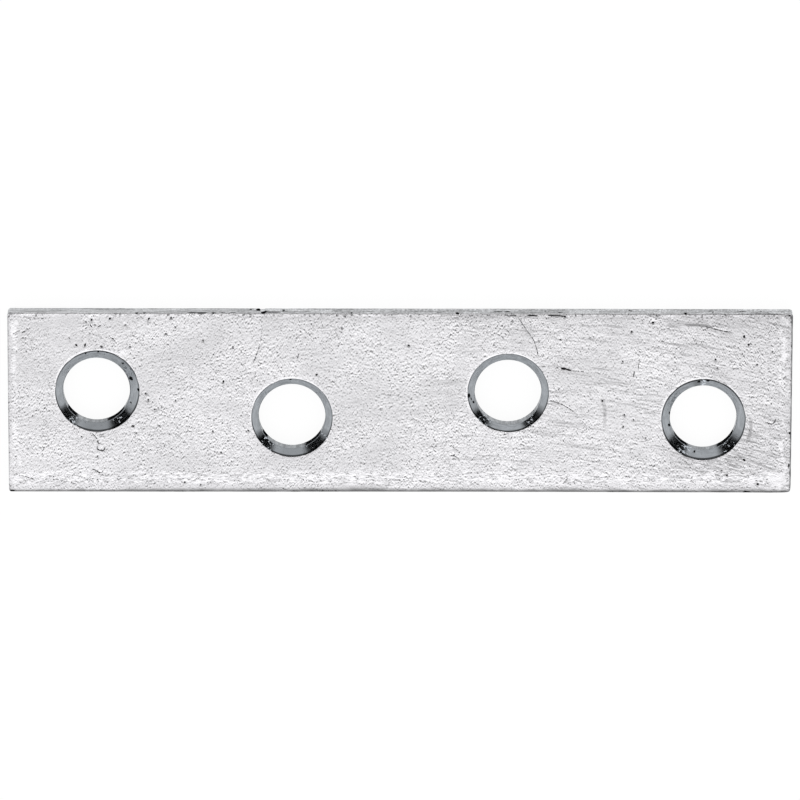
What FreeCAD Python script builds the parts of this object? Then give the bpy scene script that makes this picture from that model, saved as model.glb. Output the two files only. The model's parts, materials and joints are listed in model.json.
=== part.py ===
"""Mending plate: one flat strip of zinc-coated steel with four countersunk screw holes.

The holes stand in two staggered rows, so that the screws don't all enter one line of
the wood's grain. The strip is slit from sheet and cropped to length, which leaves one
long edge and both ends rolled over on the front face and the other long edge crisp.

Frame: +X along the plate, +Y across it, towards the crisp long edge, and +Z out of the
countersunk front face. The origin is the middle of the back face, which seats on the work.
"""

import FreeCAD
import Part

import math
import os

from FreeCAD import Vector

# Strip, in millimetres
plate_length = 76.2
plate_width = 18.2
plate_thickness = 1.9
corner_radius = 0.35  # the four corners, seen from the front

# Edges. A roll-over is a quarter ellipse from the front face down into the edge
slit_roll_width = 1.2
slit_roll_depth = 0.45
left_roll_width = 0.7
left_roll_depth = 0.14
right_roll_width = 0.9
right_roll_depth = 0.24
crisp_edge_radius = 0.1
back_edge_radius = 0.12

# Hole layout. The left-hand hole of each pair along the plate is in the upper row
end_margin = 8.6  # from each end of the plate to the middle of the nearest hole
joint_allowance = 2.0  # by which the middle pitch, over the mended joint, is the longer
row_pitch = 2.5  # between the two rows
row_shift = -0.24  # how far the rows' middle sits from the plate's centre line
row_slope = 0.003  # how far both rows near the slit edge with each millimetre along the plate

# Countersunk holes
bore_diameter = 6.5
middle_sink_depth = 0.59  # cone of the two holes next to the middle
end_sink_depth = 0.715  # cone of the two end holes, driven a little deeper
sink_angle = 100.0  # included angle of the cones, in degrees
upper_sink_shift = 0.1  # how far the upper row's cones are pressed off their bores, across the plate
first_sink_shift = 0.1  # how far the left-hand hole's cone is pressed off its bore, along the plate
rim_radius = 0.12  # softened rim where a cone meets the front face
bore_exit_radius = 0.1  # softened rim where a bore meets the back face

# Cutters pass this far beyond the faces that they cut
overrun = 1.0


def quarter_round(centre, across, up, width, depth):
    """Quarter round about centre, from centre + up * depth to centre + across * width.

    It is a circle's arc where width and depth are equal, and otherwise an ellipse's.
    """
    start = centre + up * depth
    end = centre + across * width
    if math.isclose(width, depth):
        middle = centre + (across + up) * (width / math.sqrt(2))
        return Part.Arc(start, middle, end).toShape()
    long_end, short_end = (end, start) if width > depth else (start, end)
    full = Part.Ellipse(long_end, short_end, centre)
    first, last = sorted((full.parameter(start), full.parameter(end)))
    if last - first > math.pi:
        first, last = last, first + 2 * math.pi
    return Part.ArcOfEllipse(full, first, last).toShape()


def edge_section(across, left, right):
    """Closed section of the plate: two upright edges, a back face at z = 0 and a front face.

    across is the section's horizontal direction. left and right each hold the edge's
    distance from the origin and its roll-over's width and depth. Equal width and depth
    make a plain rounded edge.
    """
    up = Vector(0, 0, 1)
    edges = []
    front_ends = []
    back_ends = []
    for side, (reach, roll_width, roll_depth) in ((-1, left), (1, right)):
        outward = across * side
        roll_centre = outward * (reach - roll_width) + up * (plate_thickness - roll_depth)
        back_centre = outward * (reach - back_edge_radius) + up * back_edge_radius
        shoulder = roll_centre + outward * roll_width
        foot = back_centre + outward * back_edge_radius
        edges.append(quarter_round(roll_centre, outward, up, roll_width, roll_depth))
        edges.append(Part.makeLine(shoulder, foot))
        edges.append(quarter_round(back_centre, outward, up * -1, back_edge_radius, back_edge_radius))
        front_ends.append(roll_centre + up * roll_depth)
        back_ends.append(back_centre - up * back_edge_radius)
    edges.append(Part.makeLine(*front_ends))
    edges.append(Part.makeLine(*back_ends))
    return Part.Face(Part.Wire(Part.__sortEdges__(edges)))


def strip_across():
    """The slit strip: its section across the width, run along the plate."""
    half = plate_width / 2
    section = edge_section(
        Vector(0, 1, 0),
        (half, slit_roll_width, slit_roll_depth),
        (half, crisp_edge_radius, crisp_edge_radius),
    )
    section.translate(Vector(-plate_length / 2, 0, 0))
    return section.extrude(Vector(plate_length, 0, 0))


def strip_along():
    """The cropped ends: the section along the length, run across the plate."""
    half = plate_length / 2
    section = edge_section(
        Vector(1, 0, 0),
        (half, left_roll_width, left_roll_depth),
        (half, right_roll_width, right_roll_depth),
    )
    section.translate(Vector(0, -plate_width / 2, 0))
    return section.extrude(Vector(0, plate_width, 0))


def plan_outline():
    """The plate's outline from the front, with its rounded corners, as a prism."""
    block = Part.makeBox(
        plate_length,
        plate_width,
        plate_thickness,
        Vector(-plate_length / 2, -plate_width / 2, 0),
    )
    uprights = [edge for edge in block.Edges if edge.BoundBox.ZLength > plate_thickness / 2]
    return block.makeFillet(corner_radius, uprights)


def blank():
    """The plate before its holes are made."""
    return strip_across().common(strip_along()).common(plan_outline())


def hole_positions():
    """Each hole's x, y, countersink depth and its cone's shifts along and across the plate.

    The holes run from the left-hand end to the right.
    """
    end_x = plate_length / 2 - end_margin
    pair_pitch = (2 * end_x - joint_allowance) / 3
    middle_x = end_x - pair_pitch
    upper_y = row_shift + row_pitch / 2
    lower_y = row_shift - row_pitch / 2
    return [
        (-end_x, upper_y + row_slope * end_x, end_sink_depth, first_sink_shift, upper_sink_shift),
        (-middle_x, lower_y + row_slope * middle_x, middle_sink_depth, 0.0, 0.0),
        (middle_x, upper_y - row_slope * middle_x, middle_sink_depth, 0.0, upper_sink_shift),
        (end_x, lower_y - row_slope * end_x, end_sink_depth, 0.0, 0.0),
    ]


def turned(corners, arcs):
    """The solid that a half section makes when it is turned about +Z.

    corners are joined in order by straight edges, and arcs close what they leave open.
    """
    edges = [Part.makeLine(a, b) for a, b in zip(corners, corners[1:])]
    half_section = Part.Face(Part.Wire(Part.__sortEdges__(edges + arcs)))
    return half_section.revolve(Vector(0, 0, 0), Vector(0, 0, 1), 360)


def bore_cutter():
    """What a punched bore removes, with its softened exit at the back face."""
    bore_r = bore_diameter / 2
    exit_top = Vector(bore_r, 0, bore_exit_radius)
    exit_end = Vector(bore_r + bore_exit_radius, 0, 0)
    exit_centre = Vector(exit_end.x, 0, exit_top.z)
    exit_middle = exit_centre + Vector(-1, 0, -1).normalize() * bore_exit_radius
    corners = [
        exit_end,
        Vector(exit_end.x, 0, -overrun),
        Vector(0, 0, -overrun),
        Vector(0, 0, plate_thickness + overrun),
        Vector(bore_r, 0, plate_thickness + overrun),
        exit_top,
    ]
    return turned(corners, [Part.Arc(exit_top, exit_middle, exit_end).toShape()])


def sink_cutter(sink_depth):
    """What a countersink removes: its cone, run on to a point, and its softened front rim."""
    wall = math.radians(sink_angle / 2)  # the cone's wall, from the axis
    sink_r = bore_diameter / 2 + sink_depth * math.tan(wall)
    front = plate_thickness

    # The rim's arc is tangent to the cone's wall and to the front face
    half_turn = (math.pi / 2 - wall) / 2
    reach = rim_radius * math.tan(half_turn)
    cone_top = Vector(sink_r - reach * math.sin(wall), 0, front - reach * math.cos(wall))
    rim_end = Vector(sink_r + reach, 0, front)
    rim_centre = Vector(rim_end.x, 0, front - rim_radius)
    rim_middle = rim_centre + Vector(-math.sin(half_turn), 0, math.cos(half_turn)) * rim_radius
    corners = [
        cone_top,
        Vector(0, 0, front - sink_r / math.tan(wall)),
        Vector(0, 0, front + overrun),
        Vector(rim_end.x, 0, front + overrun),
        rim_end,
    ]
    return turned(corners, [Part.Arc(rim_end, rim_middle, cone_top).toShape()])


def plate():
    """The finished plate."""
    cutters = []
    for x, y, sink_depth, along, across in hole_positions():
        bore = bore_cutter()
        bore.translate(Vector(x, y, 0))
        sink = sink_cutter(sink_depth)
        sink.translate(Vector(x + along, y + across, 0))
        cutters += [bore, sink]
    return blank().cut(cutters)


def main():
    os.makedirs("parts", exist_ok=True)
    shape = plate()
    solid = shape.Solids[0]
    print("solids", len(shape.Solids), "valid", solid.isValid(), "faces", len(solid.Faces))
    print("volume", round(solid.Volume, 3), "box", solid.BoundBox)
    solid.exportStep("parts/plate.step")


main()
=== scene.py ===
"""Looks of the mending plate: the coated strip with its scuffed face, cut edges and pressed holes.

The plate is built again as one fine mesh in the place of the frame's node. Its grain, pits,
scratches, edge wear, painted highlights and painted shade are partly in that mesh and partly
in procedural materials.
"""

import json
import math

from collections import namedtuple

import bpy
import numpy as np

from mathutils import Matrix, Vector
from mathutils.geometry import delaunay_2d_cdt
from mathutils.kdtree import KDTree


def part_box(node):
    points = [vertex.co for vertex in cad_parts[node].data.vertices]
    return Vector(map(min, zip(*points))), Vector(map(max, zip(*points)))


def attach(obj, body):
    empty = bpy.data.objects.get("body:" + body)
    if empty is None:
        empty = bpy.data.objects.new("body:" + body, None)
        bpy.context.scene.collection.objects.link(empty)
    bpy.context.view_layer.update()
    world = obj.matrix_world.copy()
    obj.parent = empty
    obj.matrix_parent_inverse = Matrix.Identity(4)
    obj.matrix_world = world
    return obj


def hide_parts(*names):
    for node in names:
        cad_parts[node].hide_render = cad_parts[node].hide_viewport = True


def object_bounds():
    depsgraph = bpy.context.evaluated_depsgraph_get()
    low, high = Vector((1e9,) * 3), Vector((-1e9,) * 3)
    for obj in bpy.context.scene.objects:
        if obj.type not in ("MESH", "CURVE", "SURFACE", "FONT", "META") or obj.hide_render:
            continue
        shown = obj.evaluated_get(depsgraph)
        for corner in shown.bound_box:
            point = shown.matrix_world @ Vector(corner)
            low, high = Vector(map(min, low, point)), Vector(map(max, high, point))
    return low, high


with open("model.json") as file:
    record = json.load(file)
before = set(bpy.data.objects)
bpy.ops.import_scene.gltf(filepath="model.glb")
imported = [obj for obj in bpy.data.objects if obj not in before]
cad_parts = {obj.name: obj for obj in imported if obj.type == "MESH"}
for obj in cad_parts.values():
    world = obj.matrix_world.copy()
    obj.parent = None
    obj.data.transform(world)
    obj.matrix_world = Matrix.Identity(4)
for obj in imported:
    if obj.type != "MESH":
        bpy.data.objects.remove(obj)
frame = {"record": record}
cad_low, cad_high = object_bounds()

# Sizes are in millimetres here, and in metres in Blender
mm = 0.001

plate_low, plate_high = (np.array(corner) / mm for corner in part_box("plate"))
half_length = (plate_high[0] - plate_low[0]) / 2
half_width = (plate_high[1] - plate_low[1]) / 2
thickness = plate_high[2] - plate_low[2]
corner_radius = 0.35

# Roll-overs of the cut edges, as on the frame: width on the face and depth down the edge
left_roll = (0.7, 0.14)
right_roll = (0.9, 0.24)
slit_roll = (1.2, 0.45)
crisp_roll = (0.1, 0.1)
back_edge_radius = 0.12

# Holes, as on the frame
screw_holes = [m for m in frame["record"]["mounts"] if m["kind"] == "bore"]
end_sink_depth = 0.715
middle_sink_depth = 0.59
upper_sink_shift = 0.1  # of the upper row's cones from their bores, across the plate
first_sink_shift = 0.1  # of the left-hand hole's cone from its bore, along the plate
sink_wall = math.radians(50)  # from the hole's axis
rim_radius = 0.12
bore_exit_radius = 0.1

# Mesh spacing
face_spacing = 0.26
back_spacing = 0.6
edge_spacing = 0.21
crisp_edge_spacing = 0.1
points_round_hole = 160
roll_row_insets = (0.17, 0.27, 0.4, 0.6, 0.85, 1.2)  # rows of points over the roll-overs
line_spacing = 0.09  # along a scratch

# Depths of the marks in the front face
pit_depth = 0.05
scratch_depth = 0.02

# Unevenness that the solid leaves out, all of it inward
crown = (2.2, 0.018)  # width and depth of the face's fall along the crisp edge
hole_dip = (0.35, 0.022)  # reach and depth of the face's dip round each hole
fracture_depth = 0.03  # of the cut faces
cone_unevenness = 0.024
slit_bow = (7, 16, 0.042)  # x of its middle, half length and depth
worn_corner = (0.45, 0.085)  # reach and depth, at the right-hand end of the slit edge
long_edge_zone = 0.4  # what counts as a long edge, for its bow, notch and marks
face_ripples = [(9.0, 0.012, 3), (2.6, 0.006, 5)]  # wavelength, depth and seed
outline_ripples = [(14.0, 0.022, 11), (2.2, 0.014, 12), (0.8, 0.008, 13)]

# Pits on the front face: x, y, length, width, turn in degrees and darkness
pits = [
    (-37.7, 8.98, 0.6, 0.22, 0, 0.38),
    (34.6, 9.07, 5.6, 0.14, 0, 0.34),
    (-29.9, 8.4, 0.32, 0.19, 60, 0.9),
    (-28.1, 8.55, 0.26, 0.15, 10, 0.8),
    (-24.35, 8.5, 0.32, 0.2, 50, 1),
    (-22.2, 8.6, 0.22, 0.18, 40, 1),
    (-22.7, 7, 0.24, 0.13, 0, 0.9),
    (-21.8, 7.7, 0.26, 0.12, 10, 0.5),
    (-30.45, 8.2, 0.28, 0.2, -30, 0.45),
    (-30.1, 7, 0.22, 0.14, 30, 0.4),
    (-28.95, 5.7, 0.32, 0.16, -20, 1),
    (-31.4, 5.85, 0.33, 0.2, -40, 0.9),
    (-30.55, 5.85, 0.42, 0.2, 80, 0.9),
    (-29.55, 7.9, 0.26, 0.13, 0, 0.45),
    (-19.1, 6.35, 0.19, 0.17, 0, 0.8),
    (-16.2, 5.7, 0.2, 0.15, 0, 0.8),
    (-17.15, 2.2, 0.3, 0.21, 80, 1),
    (-25.3, 3.75, 0.16, 0.14, 0, 0.4),
    (-27.85, 6.5, 0.28, 0.14, -15, 0.5),
    (-26.6, 7.9, 0.2, 0.15, 0, 0.5),
    (-26.2, 5.7, 0.25, 0.13, 10, 0.5),
    (-32.05, 6.6, 0.22, 0.15, 0, 0.35),
    (-24.7, 1, 0.2, 0.13, -10, 0.8),
    (-24.45, 0.35, 0.24, 0.15, -40, 0.6),
    (-21.8, 0.3, 0.22, 0.18, 30, 0.5),
    (-25.95, -2.3, 0.42, 0.16, 0, 1),
    (-25.65, -3, 0.2, 0.13, 0, 0.5),
    (-22.2, -1.9, 0.16, 0.14, 0, 0.35),
    (-17.4, -4.95, 0.2, 0.17, 0, 0.8),
    (-20.95, -8, 0.22, 0.18, -30, 1),
    (-19.4, -8.25, 0.24, 0.15, 0, 0.6),
    (-18.2, -2.8, 0.26, 0.13, 0, 0.5),
    (-14.75, -2.75, 0.28, 0.14, 0, 0.55),
    (-23.35, -2.3, 0.22, 0.14, -20, 0.5),
    (-23.15, -0.35, 0.3, 0.14, 20, 0.4),
    (-23.8, -0.6, 0.34, 0.12, 10, 0.45),
    (-29, -3.1, 0.46, 0.28, 0, 0.5),
    (-29.4, -5.35, 0.18, 0.15, 0, 0.6),
    (15.95, 8.8, 0.34, 0.17, -20, 1),
    (-30.95, -3.4, 0.22, 0.16, -40, 0.5),
    (-31.6, -2.45, 0.26, 0.18, -30, 1),
    (-5.65, 7.6, 0.17, 0.15, 0, 1),
    (1.05, 8.8, 0.18, 0.12, 10, 0.3),
    (0.85, 5.85, 0.31, 0.2, -35, 0.8),
    (-8.1, 2.9, 0.32, 0.18, 20, 0.7),
    (6, -1.3, 0.2, 0.12, -60, 0.3),
    (9.1, 6, 0.14, 0.13, 0, 0.5),
    (10.85, 8.4, 0.16, 0.13, -20, 0.5),
    (13.45, 6.4, 0.2, 0.12, 0, 0.5),
    (15.55, 6.5, 0.17, 0.15, 0, 0.6),
    (24.5, 8.2, 0.32, 0.2, 15, 1),
    (22.45, 7.3, 0.26, 0.18, -10, 0.7),
    (21.6, 4.3, 0.18, 0.14, 0, 0.6),
    (33.35, 6.8, 0.34, 0.26, 80, 1),
    (33.8, 6, 0.25, 0.21, 15, 1),
    (36.1, 5.3, 0.18, 0.15, 40, 0.6),
    (30.6, 4.5, 0.25, 0.19, -30, 1),
    (34.65, 4, 0.17, 0.15, 0, 0.9),
    (30.8, 3.7, 0.16, 0.13, 20, 0.45),
    (19.65, 0.3, 0.24, 0.2, 30, 1),
    (19.9, -1.1, 0.15, 0.14, 0, 0.28),
    (21.8, -1.1, 0.2, 0.18, 0, 0.8),
    (21.7, -2.3, 0.24, 0.16, 60, 0.8),
    (22.7, -1.6, 0.28, 0.14, -60, 0.6),
    (23.9, -3.45, 0.18, 0.16, 0, 0.6),
    (37.9, -2.95, 0.28, 0.24, 90, 1),
    (37.85, -6.25, 0.6, 0.18, 88, 0.6),
    (34.85, -8.1, 0.29, 0.23, 0, 1),
    (31.85, -7.2, 0.26, 0.2, 50, 1),
    (33.5, -5.65, 0.36, 0.22, -20, 1),
    (31.3, -6.7, 0.2, 0.13, 0, 0.45),
    (34, -6, 0.18, 0.12, -20, 0.3),
    (33.8, -9.03, 0.95, 0.42, 0, 1),
    (35.4, -9.04, 2.4, 0.2, 0, 0.8),
    (-37.75, -9, 0.6, 0.4, 0, 1),
    (-21.5, -9.04, 1.4, 0.18, 0, 0.6),
    (-10.2, -9.04, 1, 0.2, 0, 0.9),
    (-6.9, -9.04, 2.2, 0.2, 0, 0.8),
    (20.6, -9.04, 0.9, 0.18, 0, 0.8),
]

# How far the painted shade of the slit edge's roll-over reaches in from that edge: x and reach
slit_shade_reach = [
    (-38, 0.4),
    (-26, 0.46),
    (-13, 0.72),
    (-6, 0.82),
    (3, 0.7),
    (13, 0.62),
    (17, 0.8),
    (22, 0.55),
    (38, 0.58),
]

# Scratches on the front face: width, darkness and the points that each passes through
scratches = [
    (0.13, 0.43, [(11.2, 9.1), (11.5, 8.6), (12.2, 7.5), (12.95, 6.4), (13.3, 5.35), (13.45, 4.2)]),
    (0.14, 0.5, [(29.4, 7.85), (30.3, 7.62), (31.2, 7.38), (32.2, 7.2)]),
    (0.13, 0.4, [(8.2, 8.9), (8.9, 8.9)]),
    (0.14, 0.5, [(10, 8.88), (11.4, 8.9)]),
    (0.18, 0.85, [(12.3, 8.88), (13.3, 8.86)]),
    (0.16, 0.8, [(14.3, 8.9), (15.2, 8.88), (15.9, 8.82)]),
    (0.12, 0.3, [(3.9, 8.9), (5.3, 8.9), (7.6, 8.9), (9.9, 8.9), (12.6, 8.88)]),
    (0.26, 1, [(15.7, 3.56), (16.1, 3.5)]),
    (0.19, 0.9, [(16.1, 3.5), (16.6, 3.36)]),
    (0.14, 0.4, [(16.6, 3.36), (17.2, 3.3), (18, 3.2)]),
    (0.12, 0.24, [(18, 3.2), (18.9, 3.1), (19.8, 3)]),
    (0.13, 0.3, [(13.6, 3.85), (14.2, 3.76), (14.9, 3.76)]),
    (0.13, 0.42, [(14, 0.5), (14.65, 0.31), (15.6, 0), (16.6, -0.6), (17.5, -1.35)]),
    (0.12, 0.3, [(1, -0.5), (1.2, -1.4), (2, -1.9), (2.5, -2.5), (2.6, -3.1)]),
    (0.12, 0.45, [(5.1, -4.3), (5.4, -4.6), (5.8, -4.8)]),
    (0.12, 0.45, [(4.9, -5.2), (5.3, -5.3), (5.8, -5.6)]),
    (0.12, 0.28, [(-13.4, 9.1), (-13.4, 7.5), (-13.55, 6)]),
    (0.14, 0.44, [(-13.55, 6), (-13.86, 5.1), (-14.3, 3.9)]),
    (0.14, 0.46, [(-37.5, 6.95), (-37.2, 7.15), (-36.85, 7.3)]),
    (0.14, 0.42, [(-36.8, 6.95), (-36.5, 7.18), (-36.2, 7.3)]),
    (0.14, 0.4, [(-36.3, 7.45), (-35.8, 7.5)]),
    (0.13, 0.36, [(-36.9, 6.5), (-36.2, 6.58)]),
    (0.13, 0.36, [(-35.8, 6.55), (-35.3, 6.72)]),
    (0.14, 0.6, [(-30.05, 7.95), (-29.95, 7.75), (-29.8, 7.6)]),
    (0.14, 0.5, [(-30.55, 7.48), (-30.3, 7.62)]),
    (0.14, 0.55, [(-29.3, 7.66), (-29.15, 7.76), (-28.95, 7.86)]),
    (0.12, 0.3, [(-30.2, 7.27), (-30.1, 7.08), (-29.9, 6.93)]),
    (0.13, 0.42, [(-30.2, 6.6), (-30.1, 6.2)]),
    (0.12, 0.34, [(-25.6, 8.48), (-25.1, 8.7), (-24.7, 8.74)]),
    (0.12, 0.36, [(-26.6, 8.86), (-26.05, 8.97)]),
    (0.14, 0.46, [(-9.8, 5.1), (-9.95, 4.5)]),
    (0.12, 0.42, [(23.2, 4.6), (23.1, 3.4)]),
    (0.15, 0.6, [(22.75, 3.3), (22.65, 2.7)]),
    (0.14, 0.55, [(35.5, -1.75), (35.86, -1.95), (36.15, -2), (36.42, -1.8), (36.48, -1.5)]),
    (0.14, 0.45, [(-30.1, -2.95), (-29.7, -3.3), (-29.4, -3.7)]),
    (0.16, 0.46, [(-29.4, -3.7), (-29.3, -4.1), (-29, -4)]),
    (0.15, 0.65, [(-29.45, -4.4), (-29.42, -4.65), (-29.1, -4.8), (-28.8, -4.75), (-28.75, -4.45)]),
    (0.14, 0.5, [(-29.95, -6.65), (-29.6, -6.8), (-29.3, -7), (-28.95, -6.95), (-28.95, -6.7)]),
    (0.13, 0.4, [(-37.1, -7.3), (-36.6, -7.4), (-36, -7.6)]),
    (0.13, 0.33, [(-34.3, -7.6), (-31.9, -8)]),
    (0.12, 0.26, [(-36.9, -6.7), (-36.2, -7.4), (-35.4, -7.9)]),
    (0.12, 0.26, [(31, -6.2), (33, -6.7), (35.5, -7.4)]),
    (0.12, 0.26, [(30.4, -4.8), (32.6, -5.3), (34.8, -5.9), (36.3, -6.5)]),
]

# Soft grey rubbed lines on the front face: width, strength and the points that each passes through
rubbed = [
    (0.42, 0.28, [(25.9, 8.1), (27, 8), (28.4, 7.95), (30, 7.85)]),
    (0.34, 0.6, [(27.4, 7.98), (28.8, 7.95), (29.6, 7.88), (30.2, 7.72)]),
    (0.24, 0.25, [(25.6, 8.35), (27.6, 8.25), (29.2, 8.15)]),
    (0.45, 0.28, [(19.7, 0.6), (19.9, -0.7), (19.9, -2.3)]),
    (0.42, 0.35, [(34.07, -1.4), (34.1, -2.6), (33.8, -3.9)]),
    (0.36, 0.25, [(31.6, -5.2), (33.4, -5.6), (35.2, -6.2), (36.6, -6.9)]),
]

# Places where rubbing has left the zinc white: x, y, length, width, turn in degrees and strength
scuffs = [
    (37.5, 8.2, 0.7, 1.6, 0, 0.8),
    (37.3, 4.7, 0.8, 1.8, 0, 0.9),
    (37.6, 0.8, 0.4, 4, 0, 0.7),
    (37.5, -6.4, 0.8, 2, 0, 0.8),
    (36.7, -7.6, 3.4, 2.3, 20, 1.1),
    (36.2, 8.55, 2.6, 0.35, -2, 1),
    (36.9, 7.2, 0.8, 1.2, -30, 0.8),
    (36.8, 3.6, 0.7, 2, 30, 0.9),
    (23.3, -7.4, 2.2, 1, 10, 0.8),
    (21.3, -7.7, 2.6, 0.6, 0, 0.8),
    (27.4, -8, 4, 0.7, -5, 0.9),
    (28.7, -6.5, 0.3, 0.8, 0, 0.9),
    (1.4, -7.4, 4.5, 0.9, -3, 0.5),
    (6, -7, 4.5, 0.6, 8, 0.6),
    (5, -7.7, 4, 0.6, -4, 0.5),
    (12.7, -7.5, 2, 1.4, 25, 0.6),
    (17.2, -7.7, 4.5, 0.6, 0, 0.5),
    (6.9, 3.8, 0.6, 1.6, -30, 0.8),
    (5.7, 2.7, 1, 0.4, 20, 0.7),
    (-7.4, -6.7, 3.5, 0.5, 0, 0.6),
    (-3.8, -7.7, 6, 0.8, 0, 0.5),
    (-11.8, -7.7, 4, 0.6, 0, 0.5),
    (-18.3, -7.1, 4, 0.5, 0, 0.6),
    (-8.2, 4, 1, 0.5, 20, 0.6),
    (-37.2, 8, 1, 1.3, -30, 0.9),
    (-37.2, 5.6, 0.9, 1, 0, 0.8),
    (-35.2, 8.1, 2.4, 0.45, 15, 0.8),
    (-37.4, 4, 0.5, 4, 0, 0.9),
    (-37.4, -0.9, 0.5, 4, 0, 0.6),
    (-37.5, -3.9, 0.35, 1.6, -10, 0.9),
    (-37, -5.8, 0.35, 2.2, 18, 0.9),
    (-36, -6.9, 1.8, 0.35, -40, 0.9),
    (-37.2, -7.8, 1.3, 0.8, -15, 0.9),
    (-35.7, -8.35, 2.4, 0.4, 0, 0.8),
    (-29.05, -4.3, 0.4, 0.4, 0, 1),
    (-26.8, 5.1, 1.6, 0.8, -25, 0.9),
    (-25.9, 4.5, 1.2, 0.5, -40, 0.7),
    (-33.5, 7.1, 3, 0.7, 5, 0.6),
    (-20, 7.3, 3, 0.6, 10, 0.5),
    (20.5, 7.7, 3.5, 0.4, -4, 0.6),
    (13.9, 7.7, 2.4, 0.4, -6, 0.7),
]

# Marks on the crisp long edge: x, height above the back face, length, height and darkness
edge_marks = [
    (-13.75, 0.55, 0.5, 1, 1),
    (-13.2, 1.35, 0.68, 1.2, 1),
    (-14.5, 0.5, 0.3, 0.6, 0.6),
    (-25.5, 1.78, 0.45, 0.25, 0.6),
    (-24.75, 1.78, 0.45, 0.25, 0.5),
    (-20.1, 1.72, 1.2, 0.3, 1),
    (-19.2, 1.76, 1.2, 0.26, 0.9),
    (-18.1, 1.72, 0.7, 0.4, 0.5),
    (-17.2, 1.66, 0.7, 0.4, 0.5),
    (-16.2, 1.66, 0.9, 0.35, 0.5),
    (-12.3, 1.42, 1.9, 0.45, 0.7),
    (-11.2, 1.25, 1, 0.35, 0.5),
    (-11.3, 0.75, 0.35, 0.65, 0.9),
    (-10.1, 1.1, 0.7, 0.3, 0.4),
    (-8.9, 1.1, 0.9, 0.3, 0.45),
    (-4.7, 1.65, 0.35, 0.5, 0.6),
    (3.7, 1.6, 0.9, 0.45, 0.45),
    (5.55, 1.7, 0.4, 0.65, 1),
    (4.95, 0.65, 0.35, 0.4, 0.35),
    (9.5, 1.1, 1.1, 0.45, 0.55),
    (10.4, 1.08, 0.7, 0.45, 0.6),
    (11.65, 0.6, 0.35, 0.45, 0.5),
    (14.05, 0.95, 0.35, 0.45, 0.5),
    (15.5, 1.4, 0.7, 0.4, 0.6),
    (22.3, 0.8, 0.7, 0.5, 0.5),
    (27.65, 1.6, 0.4, 0.65, 1),
    (30.05, 0.8, 0.35, 0.6, 0.5),
    (30.3, 1.25, 0.35, 0.6, 0.5),
    (33.2, 0.9, 1.2, 0.45, 0.45),
    (34.9, 0.9, 0.6, 0.45, 0.4),
]
gouge = (-13.35, 0.3, 0.1)  # x, half length and depth of the notch in the crisp edge

# Pits on the cones: hole, turn from +X in degrees, share of the cone's height and size
cone_pits = [
    (0, 20, 0.35, 0.47),
    (0, 2, 0.9, 0.37),
    (0, 48, 0.6, 0.25),
    (0, 106, 0.85, 0.29),
    (0, 88, 0.85, 0.29),
    (0, 77, 0.9, 0.22),
    (0, 340, 0.3, 0.25),
    (2, 184, 0.8, 0.5),
    (2, 196, 0.35, 0.36),
    (2, 190, 0.55, 0.25),
    (3, 172, 0.1, 0.27),
    (3, 192, 0.15, 0.31),
    (3, 256, 0.3, 0.3),
    (3, 97, 0.65, 0.4),
    (3, 84, 0.8, 0.4),
    (1, 92, 0.85, 0.29),
]

# How much darker and wider each cone's painted rim shade is on its side towards the crisp edge
cone_rim_shades = [(0.2, 0.06), (0, 0), (0, 0), (0.4, 0.12)]

# Painted dark sectors on the cones, around and between their dark reflected crescents: hole, turn from
# +X and half reach, both in degrees, and darkness
cone_painted_shades = [
    (0, 270, 44, 0.4),
    (1, 270, 40, 0.36),
    (3, 270, 36, 0.2),
    (3, 100, 12, 0.45),
    (0, 62, 12, 0.25),
    (0, 45, 12, 0.35),
    (2, 198, 14, 0.3),
    (0, 334, 10, 0.35),
    (1, 333, 12, 0.42),
    (2, 334, 8, 0.4),
    (3, 336, 14, 0.36),
    (0, 208, 8, 0.4),
    (1, 206, 8, 0.4),
]

# Painted glints in the cones' dark reflected crescents: hole, turn and half reach in degrees, and share
cone_painted_glints = [
    (0, 302, 18, 0.38),
    (0, 232, 14, 0.54),
    (1, 298, 10, 0.4),
    (1, 328, 8, 0.42),
    (1, 230, 22, 0.5),
    (2, 308, 20, 0.4),
    (2, 230, 20, 0.5),
    (3, 310, 24, 0.38),
    (3, 240, 18, 0.58),
    (3, 90, 7, 0.72),
]

# Painted shade on the bores, below the cones' dark reflected crescents: hole, turn and half reach in
# degrees, and darkness
bore_painted_shade = [
    (0, 307, 26, 1),
    (0, 223, 18, 0.8),
    (1, 311, 26, 1),
    (1, 216, 12, 0.7),
    (2, 316, 18, 0.3),
    (3, 314, 28, 1),
    (3, 226, 24, 1),
]

rng = np.random.default_rng(17)


def roll_drop(inside, roll):
    """How far a roll-over has fallen at this distance inside its edge."""
    width, depth = roll
    share = np.clip(1 - inside / width, 0, 1)
    return depth * (1 - np.sqrt(1 - share**2))


def ripple(x, y, wavelength, seed):
    """Smooth uneven ripple between 0 and 1: a few sine waves in different directions."""
    waves = np.random.default_rng(seed)
    total = np.zeros(np.shape(x))
    count = 7
    for _ in range(count):
        turn = waves.uniform(0, 2 * math.pi)
        wave_number = 2 * math.pi / (wavelength * waves.uniform(0.7, 1.6))
        along = x * math.cos(turn) + y * math.sin(turn)
        total += np.sin(along * wave_number + waves.uniform(0, 6.3))
    return 0.5 + 0.5 * total / count


def rippled(x, y, ripples):
    """Depth of several ripples together."""
    return sum(depth * ripple(x, y, wavelength, seed) for wavelength, depth, seed in ripples)


def near_edge(inside, reach, full):
    """1 up to full inside an edge, and falling smoothly to 0 at reach."""
    share = np.clip((reach - inside) / (reach - full), 0, 1)
    return share * share * (3 - 2 * share)


def hump(offset, reach):
    """1 where the offset is 0, falling smoothly on either side to 1/e at reach."""
    return np.exp(-((offset / reach) ** 2))


def fade(reach, steepness):
    """1 in the inner part of a mark, falling to 0 where its own reach ends."""
    return np.clip(steepness * (1 - reach), 0, 1)


def strongest(fields):
    """The strongest of several fields at each point."""
    return np.maximum.reduce([*fields])


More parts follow.
